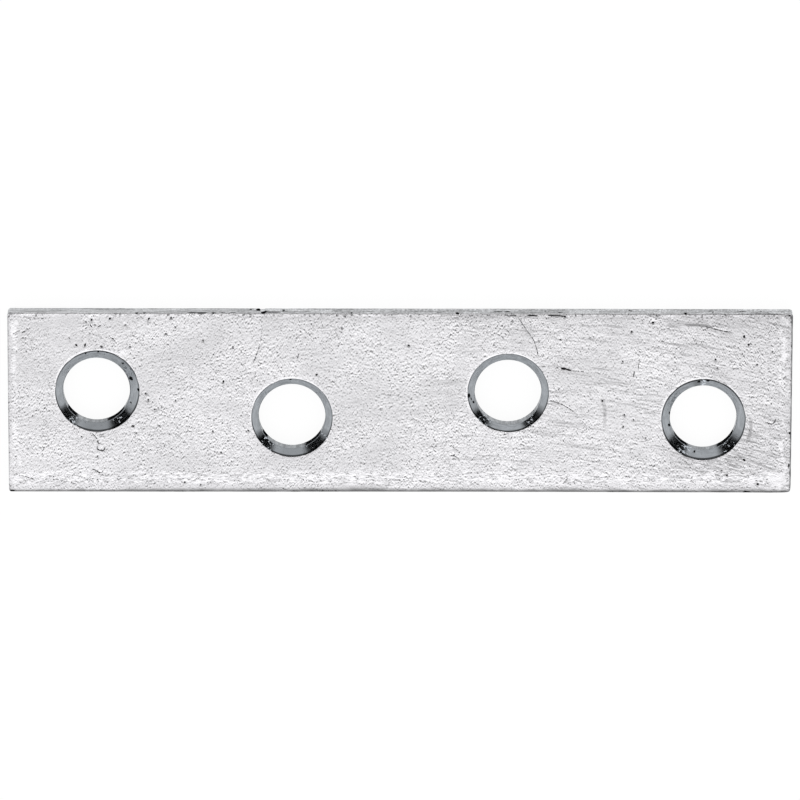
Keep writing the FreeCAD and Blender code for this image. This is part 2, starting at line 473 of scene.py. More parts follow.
Hole = namedtuple("Hole", "x y bore_r sink_depth sink_x sink_y sink_r")


def hole_data():
    """The holes, from the record's bores."""
    furthest = max(abs(m["pos_m"][0]) for m in screw_holes)
    found = []
    for mount in screw_holes:
        is_end = math.isclose(abs(mount["pos_m"][0]), furthest)
        x, y = (value / mm for value in mount["pos_m"][:2])
        bore_r = mount["dims"]["r_mm"]
        sink_depth = end_sink_depth if is_end else middle_sink_depth
        sink_x = x + (first_sink_shift if is_end and x < 0 else 0)
        sink_y = y + (upper_sink_shift if y > 0 else 0)
        sink_r = bore_r + sink_depth * math.tan(sink_wall)
        found.append(Hole(x, y, bore_r, sink_depth, sink_x, sink_y, sink_r))
    return found


holes = hole_data()


def beyond_sink(x, y, hole):
    """Distance outside a hole's countersink."""
    return np.hypot(x - hole.sink_x, y - hole.sink_y) - hole.sink_r


def smooth_polyline(points, step):
    """The points joined by a Catmull-Rom curve, sampled about every step."""
    points = np.array(points)
    knots = [2 * points[0] - points[1], *points, 2 * points[-1] - points[-2]]
    samples = []
    for a, b, c, d in zip(knots, knots[1:], knots[2:], knots[3:]):
        count = max(2, int(np.linalg.norm(c - b) / step))
        for t in np.arange(count) / count:
            square = (2 * a - 5 * b + 4 * c - d) * t**2
            cube = (3 * b - a - 3 * c + d) * t**3
            samples.append(0.5 * (2 * b + (c - a) * t + square + cube))
    samples.append(points[-1])
    return np.array(samples)


def curves(lines):
    """Widths, strengths and finely sampled courses of a list of lines."""
    return [(width, value, smooth_polyline(points, line_spacing)) for width, value, points in lines]


scratch_lines = curves(scratches)
rubbed_lines = curves(rubbed)


def point_tree(points):
    """A search tree of points in the plane."""
    tree = KDTree(len(points))
    for index, point in enumerate(points):
        tree.insert((*point, 0), index)
    tree.balance()
    return tree


def oval_reach(x, y, oval):
    """Distance from an oval's middle as a share of the oval's own reach that way."""
    ox, oy, length, width, turn = oval
    c, s = math.cos(math.radians(turn)), math.sin(math.radians(turn))
    along = ((x - ox) * c + (y - oy) * s) / (length / 2)
    across = ((y - oy) * c - (x - ox) * s) / (width / 2)
    return np.hypot(along, across)


def pit_field(x, y):
    """Darkness of the pits at each point, from 0 outside them to their own at the middle."""
    return strongest(dark * fade(oval_reach(x, y, oval), 3.3) for *oval, dark in pits)


def line_field(x, y, lines):
    """Strength of a list of lines at each point, fading towards their ends."""
    end_strength, taper_share = 0.45, 0.25
    field = np.zeros(np.shape(x))
    for width, dark, line in lines:
        tree = point_tree(line)
        low, high = line.min(0) - width, line.max(0) + width
        near = np.flatnonzero((x > low[0]) & (x < high[0]) & (y > low[1]) & (y < high[1]))
        for index in near:
            _, nearest, distance = tree.find((x[index], y[index], 0))
            if distance < width / 2:
                from_end = min(nearest, len(line) - 1 - nearest)
                taper = min(1, end_strength + from_end / (taper_share * len(line)))
                depth = min(1, 2 * (1 - distance / (width / 2)))
                field[index] = max(field[index], dark * taper * depth)
    return field


def dimmed_field(x, y):
    """How much the front face is dimmed: painted shade where the roll-overs fall away along the slit
    edge and at the cropped ends, and the grey rubbed lines.
    """
    coarse, fine = ripple(x, y, 3.0, seed=41) - 0.5, ripple(x, y, 0.9, seed=42) - 0.5
    wander = 0.16 * coarse + 0.22 * fine
    # Painted shade where the roll-overs fall away, along the slit edge and at the two ends
    slit_reach = np.interp(x, *zip(*slit_shade_reach))
    slit_share = 0.5 + 0.5 * ripple(x, 0 * y, 3.5, seed=44)
    slit = slit_share * near_edge(y + half_width + wander, slit_reach, full=0.12)
    left_share = 0.22 + 0.25 * hump(y + 2.2, 2.2)
    left = left_share * near_edge(x + half_length + 0.5 * wander, 0.14, full=0.02)
    right_share = 0.3 + 0.9 * ripple(x, y, 1.6, seed=45)
    right = right_share * near_edge(half_length - x + 0.5 * wander, 0.22, full=0.08)
    return strongest([slit, left, right, line_field(x, y, rubbed_lines)])


def hole_rim_highlight(x, y, hole):
    """Painted highlight on the rim round a hole: how white it is, most of all on its upper left side.
    """
    upper_left = math.radians(125)
    turn = np.arctan2(y - hole.sink_y, x - hole.sink_x)
    rim_width = 0.05
    beyond = np.clip(beyond_sink(x, y, hole) - rim_width, 0, None)
    return (0.72 + 0.40 * np.cos(turn - upper_left)) * hump(beyond, 0.17)


def scuffs_and_sheen_field(x, y):
    """How white the zinc is: painted highlights along the rolled edges' crests and round the holes, and
    scuffs that rubbing has whitened.
    """
    # Painted highlights along the crests of the slit edge's and the two ends' roll-overs
    slit_share = 0.75 * (0.5 + 0.6 * ripple(x, y, 4.5, seed=51))
    slit_inset = 1.45 + 0.3 * ripple(x, 0 * y, 5.0, seed=52)
    slit = slit_share * hump(y + half_width - slit_inset, 0.36)
    left_share = (0.85 + 0.02 * y) * (0.25 + 0.95 * ripple(x, y, 2.8, seed=54))
    left_inset = 0.62
    left = left_share * hump(x + half_length - left_inset, 0.5)
    right_share = 0.98 * (0.1 + 1.3 * ripple(x, y, 2.2, seed=53))
    right_inset = 0.6 + 0.9 * ripple(0 * x, y, 2.4, seed=55)
    right = right_share * hump(half_length - x - right_inset, 0.4)
    hole_rim_highlights = (hole_rim_highlight(x, y, hole) for hole in holes)
    in_scuffs = (strength * fade(oval_reach(x, y, oval), 1.5) for *oval, strength in scuffs)
    return strongest([slit, left, right, *hole_rim_highlights, *in_scuffs])


def face_drop(x, y):
    """How far the front face lies below the plate's full thickness, before pits and scratches."""
    insides = (x + half_length, half_length - x, y + half_width, half_width - y)
    rolls = (left_roll, right_roll, slit_roll, crisp_roll)
    rolled = strongest(roll_drop(inside, roll) for inside, roll in zip(insides, rolls))
    crown_width, crown_depth = crown
    crowned = crown_depth * np.clip(1 - (half_width - y) / crown_width, 0, 1) ** 2
    dip_reach, dip_depth = hole_dip
    dipped = np.zeros(np.shape(x))
    for hole in holes:
        dipped += dip_depth * np.exp(-np.clip(beyond_sink(x, y, hole), 0, None) / dip_reach)
    return rolled + crowned + dipped + rippled(x, y, face_ripples)


def outline(inset):
    """The plate's outline, moved in by inset: points, counter-clockwise, and outward directions."""
    hx, hy = half_length - inset, half_width - inset
    corner_points = 8
    sides = (
        (1, -1, -90, 2 * (hy - corner_radius), edge_spacing),
        (1, 1, 0, 2 * (hx - corner_radius), crisp_edge_spacing),
        (-1, 1, 90, 2 * (hy - corner_radius), edge_spacing),
        (-1, -1, 180, 2 * (hx - corner_radius), edge_spacing),
    )
    points, outward = [], []
    for sx, sy, start, length, spacing in sides:
        centre = np.array([sx * (hx - corner_radius), sy * (hy - corner_radius)])
        for turn in np.radians(start + np.linspace(0, 90, corner_points)):
            normal = np.array([math.cos(turn), math.sin(turn)])
            points.append(centre + corner_radius * normal)
            outward.append(normal)
        side = outward[-1]
        along = np.array([-side[1], side[0]])
        count = round((length + 2 * inset) / spacing)
        for share in np.arange(1, count) / count:
            points.append(centre + corner_radius * side + along * length * share)
            outward.append(side)
    return np.array(points), np.array(outward)


def edge_wander(x, y):
    """How far the outline wanders in from its true place, as cut edges do."""
    notch_x, notch_half, notch_depth = gouge
    on_crisp_edge = y > half_width - long_edge_zone
    notch = notch_depth * np.clip(1 - ((x - notch_x) / notch_half) ** 2, 0, 1) * on_crisp_edge
    bow_x, bow_half, bow_depth = slit_bow
    on_slit_edge = y < long_edge_zone - half_width
    bow = bow_depth * hump(x - bow_x, bow_half) * on_slit_edge
    corner_reach, corner_depth = worn_corner
    corner = corner_depth * hump(np.hypot(x - half_length, y + half_width), corner_reach)
    return rippled(x, y, outline_ripples) + notch + bow + corner


def edge_mark_field(x, y, z):
    """Darkness of the marks on the crisp long edge."""
    marks = (dark * fade(oval_reach(x, z, (*oval, 0)), 3) for *oval, dark in edge_marks)
    return strongest(marks) * (y > half_width - long_edge_zone)


class Skin:
    """The plate's surface as it is built: vertices, faces, each face's material and marks."""

    def __init__(self):
        self.points = []
        self.fields = []
        self.faces = []
        self.materials = []
        self.count = 0

    def add(self, points, mark=0.0, dull=0.0, worn=0.0, fleck=0.0):
        """Adds vertices and returns their numbers."""
        start = self.count
        self.points.append(np.asarray(points, float))
        fields = [np.broadcast_to(field, len(points)) for field in (mark, dull, worn, fleck)]
        self.fields.append(np.column_stack(fields))
        self.count += len(points)
        return np.arange(start, self.count)

    def ring_strip(self, upper, lower, material):
        """Joins two rings of as many vertices by quads."""
        for a, b, c, d in zip(upper, np.roll(upper, -1), np.roll(lower, -1), lower):
            self.faces.append((a, b, c, d))
            self.materials.append(material)


# The mesh's fields: marks, painted bore shade among them; painted shade, and the front's rubbed lines;
# scuffs, painted highlights and the cones' painted light; painted glints on the cones
field_names = ("mark", "dull", "worn", "fleck")
front_material, edge_material, sink_material, bore_material, back_material = range(5)

# Rings down the plate's edge: insets on the front rim, and shares of the way down the upright
front_insets = (0.1, 0.075, 0.05, 0.03, 0.012, 0.0)
upright_shares = (0.05, 0.12, 0.2, 0.28, 0.36, 0.44, 0.52, 0.6, 0.7, 0.8, 0.9, 1.0)
back_turns = np.radians((30, 60, 90))  # round the radius at the back face


def pulled_in(points, outward, amount, z):
    """A ring's vertices: the outline's points moved inward by an amount, at height z."""
    return np.column_stack([points - outward * amount[:, None], z])


def build_edges(skin):
    """The outline's rings from the front face's rim to the back face's, and both end rings."""
    rings = []
    for inset in front_insets:
        points, outward = outline(inset)
        x, y = points.T
        z = thickness - face_drop(x, y)
        wander = edge_wander(x, y)
        marks = np.maximum(edge_mark_field(x, y, z), pit_field(x, y))
        fields = (marks, dimmed_field(x, y), scuffs_and_sheen_field(x, y))
        rings.append(skin.add(pulled_in(points, outward, wander, z), *fields))
    shoulder_z = z
    for share in upright_shares:
        z = shoulder_z + (back_edge_radius - shoulder_z) * share
        rough = np.clip(np.minimum(share, 1 - share) * 5, 0, 1)
        fracture = fracture_depth * ripple(x + y, z * 3, 0.9, seed=21) * rough
        ring = pulled_in(points, outward, wander + fracture, z)
        rings.append(skin.add(ring, edge_mark_field(x, y, z)))
    for turn in back_turns:
        points, outward = outline(back_edge_radius * (1 - math.cos(turn)))
        z = np.full(len(points), back_edge_radius * (1 - math.sin(turn)))
        rings.append(skin.add(pulled_in(points, outward, wander, z)))
    for index, (upper, lower) in enumerate(zip(rings, rings[1:])):
        material = front_material if index < len(front_insets) - 2 else edge_material
        skin.ring_strip(upper, lower, material)
    return rings[0], rings[-1]


# Rows down a bore carry a share of the painted bore shade
Row = namedtuple("Row", "radius height cone_share lean dull material")


def hole_profile(hole):
    """A hole's rings, from the front face to the back.

    cone_share says how far a ring keeps to the cone's middle instead of the bore's, and lean
    how far it follows the tilt that the cone's foot has where the two middles differ.
    """
    front_land, back_land = 0.12, 0.3  # flat rings round the hole on the two faces
    half_turn = (math.pi / 2 - sink_wall) / 2
    rim_end = hole.sink_r + rim_radius * math.tan(half_turn)
    foot = thickness - hole.sink_depth
    bore_top = foot - 0.025  # below the cone's foot where that is tilted
    rows = [
        Row(rim_end + front_land, thickness, 1, 0, 0, front_material),
        Row(rim_end, thickness, 1, 0, 0, front_material),
    ]
    for step, turn in enumerate(np.linspace(0, 2 * half_turn, 6)[1:]):
        radius = rim_end - rim_radius * math.sin(turn)
        height = thickness - rim_radius * (1 - math.cos(turn))
        material = front_material if step < 2 else sink_material
        rows.append(Row(radius, height, 1, 0, 0, material))
    cone_top = rows[-1]
    for share in (0.06, 0.12, 0.2, 0.3, 0.42, 0.54, 0.66, 0.78, 0.9, 0.97):
        radius = cone_top.radius + (hole.bore_r - cone_top.radius) * share
        height = cone_top.height + (foot - cone_top.height) * share
        rows.append(Row(radius, height, 1 - share, share, 0, sink_material))
    rows.append(Row(hole.bore_r, bore_top, 0, 1, 0, sink_material))
    for share in np.linspace(0, 1, 6)[1:]:
        height = bore_top + (bore_exit_radius - bore_top) * share
        rows.append(Row(hole.bore_r, height, 0, 1 - share, 1, bore_material))
    for turn in back_turns:
        radius = hole.bore_r + bore_exit_radius * (1 - math.cos(turn))
        rows.append(Row(radius, bore_exit_radius * (1 - math.sin(turn)), 0, 0, 0, bore_material))
    rows.append(Row(hole.bore_r + bore_exit_radius + back_land, 0.0, 0, 0, 0, back_material))
    return rows


def turn_from(turn, degrees):
    """Angle about a hole's axis, measured from a direction, between minus and plus half a turn."""
    return (turn - math.radians(degrees) + math.pi) % (2 * math.pi) - math.pi


def cone_mark_field(hole_index, turn, share):
    """Darkness of the pits on one hole's cone, by turn and share of the cone's height."""
    cone_r = 3.6  # about half way up the cone
    marks = [0 * turn]
    for index, degrees, height, size in cone_pits:
        if index == hole_index:
            reach = np.hypot(turn_from(turn, degrees) * cone_r, share - height) / (size / 2)
            marks.append(fade(reach, 2))
    return strongest(marks)


def sector_field(sectors, hole_index, turn):
    """The value of the sectors listed for one hole, by turn, falling to 0 at their ends."""
    found = [0 * turn]
    for index, degrees, half_reach, value in sectors:
        if index == hole_index:
            reach = math.radians(half_reach)
            found.append(value * near_edge(np.abs(turn_from(turn, degrees)), reach, 0.3 * reach))
    return strongest(found)


def rim_shade_field(hole_index, turn, share):
    """Painted shade on one cone's rim, by turn and share of the cone's height."""
    low = np.clip(-np.sin(turn), 0, 1)
    high = np.clip(np.sin(turn), 0, 1)
    darker, wider = cone_rim_shades[hole_index]
    dark = 0.6 + 0.9 * low + darker * high
    reach = 0.20 + 0.05 * low + wider * high
    full = 0.06 + 0.04 * low + 0.4 * wider * high
    return dark * near_edge(1 - share, reach, full)


def ring_fields(hole_index, row, turn, share, x, y):
    """The fields of one of a hole's rings, by turn."""
    if row.material == front_material:
        return 0, 0, scuffs_and_sheen_field(x, y)
    # Painted shade in the bores below the cones' dark reflected crescents; the cones also take painted
    # rim shade, painted dark sectors, painted light and painted glints
    bore_shade = sector_field(bore_painted_shade, hole_index, turn)
    if row.material != sink_material:
        return (bore_shade * row.dull,)
    mark = np.maximum(cone_mark_field(hole_index, turn, share), bore_shade * (share == 0))
    dull = np.maximum(rim_shade_field(hole_index, turn, share), sector_field(cone_painted_shades, hole_index, turn))
    return mark, dull, cone_painted_light(turn), sector_field(cone_painted_glints, hole_index, turn)


def cone_painted_light(turn):
    """Painted light: how much lighter and rougher a cone is on its side towards the crisp edge, by
    turn.
    """
    return np.clip(1.6 * np.sin(turn) - 0.3, 0, 1)


def build_hole(skin, hole_index):
    """One countersunk hole's rings. Returns those that meet the front and back faces."""
    hole = holes[hole_index]
    foot = thickness - hole.sink_depth
    turn = np.linspace(0, 2 * math.pi, points_round_hole, endpoint=False)
    shift_x, shift_y = hole.sink_x - hole.x, hole.sink_y - hole.y
    tilt = -(shift_x * np.cos(turn) + shift_y * np.sin(turn)) / math.tan(sink_wall)
    rows = hole_profile(hole)
    rings = []
    for row in rows:
        share = np.clip((row.height - foot) / hole.sink_depth, 0, 1)
        waviness = ripple(turn * hole.bore_r, row.height * 3, 2.4, seed=31 + hole_index) - 0.5
        radius = row.radius + cone_unevenness * waviness * (share > 0)
        x = hole.x + shift_x * row.cone_share + radius * np.cos(turn)
        y = hole.y + shift_y * row.cone_share + radius * np.sin(turn)
        z = row.height + row.lean * tilt - face_drop(x, y) * share
        fields = ring_fields(hole_index, row, turn, share, x, y)
        rings.append(skin.add(np.column_stack([x, y, z]), *fields))
    for upper, lower, row in zip(rings, rings[1:], rows[1:]):
        skin.ring_strip(upper, lower, row.material)
    return rings[0], rings[-1]


def near_marks():
    """Points that carry the pits and scratches on the front face, finer than its grid."""
    rings = ((0.7, 8, 0.0), (1.0, 10, 0.3))  # share of the pit's size, count and first turn
    points = []
    for px, py, length, width, turn, _ in pits:
        c, s = math.cos(math.radians(turn)), math.sin(math.radians(turn))
        points.append((px, py))
        for scale, count, start in rings:
            for t in start + np.arange(count) * 2 * math.pi / count:
                along, across = scale * length / 2 * math.cos(t), scale * width / 2 * math.sin(t)
                points.append((px + along * c - across * s, py + along * s + across * c))
    for width, _, line in scratch_lines + rubbed_lines:
        tangents = np.gradient(line, axis=0)
        tangents /= np.linalg.norm(tangents, axis=1)[:, None]
        sideways = np.column_stack([-tangents[:, 1], tangents[:, 0]]) * width / 2
        for share in (-1, -0.5, 0, 0.5, 1):
            points.extend(map(tuple, line + share * sideways))
    return np.array(points)


def grid_points(spacing):
    """Points of a grid of even triangles over the whole plate, a little jittered."""
    jitter = 0.12
    row_height = spacing * math.sqrt(3) / 2
    points = []
    for row, y in enumerate(np.arange(-half_width, half_width, row_height)):
        shift = spacing / 2 * (row % 2)
        xs = np.arange(-half_length + shift, half_length, spacing)
        points.append(np.column_stack([xs, np.full(len(xs), y)]))
    points = np.vstack(points)
    return points + rng.uniform(-jitter, jitter, points.shape) * spacing


def inside_face(points, edge_gap, circles):
    """Which points lie on the face, away from the outline and outside the circles."""
    x, y = points.T
    keep = (np.abs(x) < half_length - edge_gap) & (np.abs(y) < half_width - edge_gap)
    for cx, cy, radius in circles:
        keep &= np.hypot(x - cx, y - cy) > radius
    return keep


def thinned(points, kept, gap):
    """The points that lie at least gap from every kept one."""
    tree = point_tree(kept)
    far = [tree.find((*point, 0))[2] > gap for point in points]
    return points[np.array(far, bool)]


def round_sinks(beyond):
    """Circles this far outside the countersinks."""
    return [(hole.sink_x, hole.sink_y, hole.sink_r + beyond) for hole in holes]


def round_bores(beyond):
    """Circles this far outside the bores."""
    return [(hole.x, hole.y, hole.bore_r + beyond) for hole in holes]


def fill_face(skin, rings, circles, loose, surface, material):
    """Fills a face between its outer ring and its holes' rings by triangles through loose points.

    surface gives the height and the fields of points on the face.
    """
    ring_numbers = np.concatenate(rings)
    flat = np.vstack([np.vstack(skin.points)[ring_numbers, :2], loose])
    edges, start = [], 0
    for ring in rings:
        numbers = np.arange(start, start + len(ring))
        edges.extend(zip(numbers.tolist(), np.roll(numbers, -1).tolist()))
        start += len(ring)
    found, _, triangles, origins, _, _ = delaunay_2d_cdt([Vector(p) for p in flat], edges, [], 0, 1e-7)
    found = np.array([tuple(v) for v in found])
    height, fields = surface(found[:, 0], found[:, 1])
    numbers = skin.add(np.column_stack([found, height]), *fields).copy()
    for index, origin in enumerate(origins):
        if origin and origin[0] < len(ring_numbers):
            numbers[index] = ring_numbers[origin[0]]
    middles = found[np.array(triangles)].mean(1)
    for triangle, keep in zip(triangles, inside_face(middles, 0, circles)):
        if keep:
            a, b, c = numbers[list(triangle)]
            skin.faces.append((a, c, b) if material == back_material else (a, b, c))
            skin.materials.append(material)


def front_surface(x, y):
    """Height and fields of points on the front face, pits and scratches included."""
    in_pits, in_scratches = pit_field(x, y), line_field(x, y, scratch_lines)
    height = thickness - face_drop(x, y) - pit_depth * in_pits - scratch_depth * in_scratches
    return height, (np.maximum(in_pits, in_scratches), dimmed_field(x, y), scuffs_and_sheen_field(x, y))


def back_surface(x, _):
    """Height and fields of points on the back face, which is flat."""
    return 0 * x, ()


def plate_mesh():
    """The whole plate as one mesh."""
    skin = Skin()
    front_ring, back_ring = build_edges(skin)
    hole_rings = [build_hole(skin, index) for index in range(len(holes))]
    front_rings = [front_ring, *(front for front, _ in hole_rings)]
    back_rings = [back_ring, *(back for _, back in hole_rings)]

    marked = near_marks()
    marked = marked[inside_face(marked, 0.14, round_sinks(beyond=0.22))]
    roll_rows = np.vstack([outline(inset)[0] for inset in roll_row_insets])
    roll_rows = thinned(roll_rows[roll_rows[:, 1] < half_width - 1], marked, gap=0.1)
    grid = grid_points(face_spacing)
    grid = grid[inside_face(grid, 0.25, round_sinks(beyond=0.3))]
    grid = thinned(grid, np.vstack([marked, roll_rows]), gap=0.6 * face_spacing)
    loose = np.vstack([marked, roll_rows, grid])
    fill_face(skin, front_rings, round_sinks(beyond=0), loose, front_surface, front_material)

    grid = grid_points(back_spacing)
    grid = grid[inside_face(grid, 0.5, round_bores(beyond=0.8))]
    fill_face(skin, back_rings, round_bores(beyond=0.2), grid, back_surface, back_material)
    return skin


def used_only(skin):
    """The skin's vertices, their fields and the faces, without the vertices that no face uses."""
    points, fields = np.vstack(skin.points), np.vstack(skin.fields)
    used = np.zeros(len(points), bool)
    for face in skin.faces:
        used[list(face)] = True
    renumbered = np.cumsum(used) - 1
    faces = [tuple(int(renumbered[v]) for v in face) for face in skin.faces]
    return points[used], fields[used], faces


def add_object(name, data):
    """A new object in the scene."""
    added = bpy.data.objects.new(name, data)
    bpy.context.scene.collection.objects.link(added)
    return added


def make_plate():
    """The plate's object, in metres, with its marks and wear as attributes of its points."""
    skin = plate_mesh()
    points, fields, faces = used_only(skin)
    mesh = bpy.data.meshes.new("mending_plate")
    mesh.from_pydata((points * mm).tolist(), [], faces)
    mesh.polygons.foreach_set("material_index", skin.materials)
    mesh.polygons.foreach_set("use_smooth", [True] * len(faces))
    for name, field in zip(field_names, fields.T):
        attribute = mesh.attributes.new(name, "FLOAT", "POINT")
        attribute.data.foreach_set("value", np.ascontiguousarray(field))
    mesh.update()
    return add_object("mending_plate", mesh)


def add_node(tree, kind, settings=None, **inputs):
    """A shader node with its settings. Inputs, by name or as i and a number, are set or linked."""
    node = tree.nodes.new(kind)
    for name, value in (settings or {}).items():
        setattr(node, name, value)
    for name, value in inputs.items():
        key = int(name[1:]) if name[0] == "i" and name[1:].isdigit() else name.replace("_", " ")
        if isinstance(value, Value):
            tree.links.new(value.socket, node.inputs[key])
        else:
            node.inputs[key].default_value = value
    return node


class Value:
    """A number or a vector that a shader works out at each point."""

    def __init__(self, node, output=0):
        self.socket = node.outputs[output]
        self.tree = node.id_data

    def math(self, operation, other):
        """A Math node of this number and another."""
        return Value(add_node(self.tree, "ShaderNodeMath", {"operation": operation}, i0=self, i1=other))

    def __add__(self, other):
        return self.math("ADD", other)

    def __sub__(self, other):
        return self.math("SUBTRACT", other)

    def __mul__(self, other):
        return self.math("MULTIPLY", other)

    def vector_math(self, operation, other=(0, 0, 0), output=0):
        """A Vector Math node of this vector and another."""
        settings = {"operation": operation}
        return Value(add_node(self.tree, "ShaderNodeVectorMath", settings, i0=self, i1=other), output)

    def parts(self):
        """This vector's x, y and z."""
        split = add_node(self.tree, "ShaderNodeSeparateXYZ", Vector=self)
        return [Value(split, index) for index in range(3)]

    def ramp(self, start, end, low=0.0, high=1.0, shape="SMOOTHSTEP"):
        """A step from low where this number is start to high where it is end."""
        settings = {"interpolation_type": shape}
        limits = {"From_Min": start, "From_Max": end, "To_Min": low, "To_Max": high}
        return Value(add_node(self.tree, "ShaderNodeMapRange", settings, Value=self, **limits))

    def between(self, start, end):
        """1 where this number is in the middle of a span, falling smoothly to 0 at its ends."""
        middle = (start + end) / 2
        return self.ramp(start, middle) * self.ramp(end, middle)

    def mixed(self, share, other):
        """This number with a share of another in its place."""
        settings = {"data_type": "FLOAT", "clamp_factor": True}
        return Value(add_node(self.tree, "ShaderNodeMix", settings, i0=share, i2=self, i3=other))


def position(tree):
    """Object coordinates in millimetres."""
    source = Value(add_node(tree, "ShaderNodeTexCoord"), "Object")
    return source.vector_math("MULTIPLY", (1 / mm, 1 / mm, 1 / mm))


def arched(place, rise):
    """The place with +Y bent by rise times X squared, so that what lies along X is arched."""
    x, y, z = place.parts()
    return Value(add_node(place.tree, "ShaderNodeCombineXYZ", X=x, Y=y + x * x * rise, Z=z))


def noise(place, scale, turn=0.0, detail=2.0, roughness=0.5, distortion=0.0):
    """A noise with this many cells to a millimetre, turned about Z in degrees."""
    rotation = (0, 0, math.radians(-turn))
    turned = Value(add_node(place.tree, "ShaderNodeMapping", Vector=place, Rotation=rotation))
    scaled = turned.vector_math("MULTIPLY", scale)
    grain = {"Scale": 1.0, "Detail": detail, "Roughness": roughness, "Distortion": distortion}
    return Value(add_node(place.tree, "ShaderNodeTexNoise", Vector=scaled, **grain), "Fac")


def within(place, middle, reach):
    """1 in the inner part of an oval patch of the face, and falling to 0 at its reach."""
    offset = place.vector_math("SUBTRACT", (*middle, 0))
    shares = offset.vector_math("MULTIPLY", (1 / reach[0], 1 / reach[1], 0))
    return shares.vector_math("LENGTH", output="Value").ramp(1.0, 0.4)


def mesh_field(tree, name):
    """One of the mesh's fields."""
    return Value(add_node(tree, "ShaderNodeAttribute", {"attribute_name": name}), "Fac")


def new_material(name):
    """A new material, its node tree and its shader node."""
    material = bpy.data.materials.new(name)
    material.use_nodes = True
    tree = material.node_tree
    shader = tree.nodes["Principled BSDF"]
    shader.inputs["Specular IOR Level"].default_value = 0.0
    return material, tree, shader


def metal_material(name, finish, *settings):
    """A metal's material, from the function that works out its finish at each place.

    The finish is a grey level, what its red and blue are scaled by, a roughness, and a height
    with the depth of its bump in millimetres. What lies in the marks is black and isn't metal;
    the marks include painted shade in the bores.
    """
    material, tree, shader = new_material(name)
    place = position(tree)
    level, (red, blue), roughness, height, depth = finish(place, *settings)
    spots = noise(place, (6.5, 6.5, 6.5), detail=1.0)
    mark = (mesh_field(tree, "mark") + spots * 0.9).ramp(0.68, 1.0)
    grey = level.mixed(mark, 0.01)
    scale = {"operation": "SCALE"}
    nodes = {
        "Base Color": add_node(tree, "ShaderNodeVectorMath", scale, i0=(red, 1.0, blue), Scale=grey),
        "Metallic": add_node(tree, "ShaderNodeMath", {"operation": "SUBTRACT"}, i0=1.0, i1=mark),
        "Normal": add_node(tree, "ShaderNodeBump", Strength=1.0, Distance=depth * mm, Height=height),
    }
    for target, node in nodes.items():
        tree.links.new(node.outputs[0], shader.inputs[target])
    tree.links.new(roughness.socket, shader.inputs["Roughness"])
    return material


def dash_shade(place):
    """How much lighter or darker the zinc is for its grain of short dashes, and the grain itself."""
    dashes = noise(place, (4.8, 6.5, 5.0), turn=2, detail=1.0, distortion=0.25)
    fine = noise(place, (8.4, 10.5, 7.0), turn=-3, detail=0.0)
    grain = dashes * 0.53 + fine * 0.47
    soft = grain.ramp(0.3, 0.7, -0.32, 0.32, "LINEAR")
    dark = grain.ramp(0.43, 0.28)
    return soft - dark * 0.66, grain


def grain_shade(place, wisps):
    """How much lighter or darker the zinc is for its dashes and for the wisps' painted lit and shaded
    sides, and the dashes' grain.

    Each dash has a paler border on either side of it, across the strip.
    """
    border = 0.19
    shade, grain = dash_shade(place)
    for offset in (border, -border):
        beside, _ = dash_shade(place.vector_math("ADD", (0, offset, 0)))
        shade = shade - beside * 0.22
    # Painted highlight and painted shade: each wisp gets a pale and a dark line, as a ridge lit from
    # one side
    painted_lit_ridges = wisps.between(0.51, 0.59)
    painted_shaded_ridges = wisps.between(0.41, 0.49)
    return shade + painted_lit_ridges * 0.10 - painted_shaded_ridges * 0.14, grain


# Places on the face are in millimetres from its middle


def slit_crest(y):
    """1 along the crest of the slit edge's roll-over, falling to 0 on either side of it."""
    return y.ramp(-8.45, -7.9) * y.ramp(-6.3, -7.3)


def grain_strength(place, is_front):
    """How strongly the grain shows: in clusters, more along the crest and less in a calm patch."""
    clusters = noise(place, (0.25, 0.40, 0.36), detail=3.0, roughness=0.6)
    strength = clusters.ramp(0.36, 0.64, 0.5, 0.97)
    if not is_front:
        return strength
    _, y, _ = place.parts()
    calm = within(place, (-32.7, 6.9), (3.0, 4.2))
    return strength + slit_crest(y) * 0.5 - calm * 0.5


def with_scuffs_and_sheen(level, place, grain, light):
    """The front's level with its slanting hatch, with the zinc that rubbing has whitened, and with
    painted highlights along the rolled edges' crests and round the holes.
    """
    hatch = noise(place, (0.7, 7.0, 3.0), turn=-17, detail=3.0, roughness=0.6)
    hatch_share = hatch.ramp(0.52, 0.36) * within(place, (32.5, -5.6), (8.5, 4.4))
    level = level.mixed(hatch_share * 0.7, light * 0.35)
    patches = noise(place, (1.3, 3.2, 2.4), detail=3.0, roughness=0.65, distortion=0.8)
    # Scuffs, and the painted highlights on the rolled edges' crests and the hole rims, turn the zinc
    # near white
    scuff_and_sheen = patches * 0.75 + grain * 0.25 + mesh_field(place.tree, "worn") * 0.5
    return level.mixed(scuff_and_sheen.ramp(0.74, 0.92, 0.0, 0.8), 0.95)


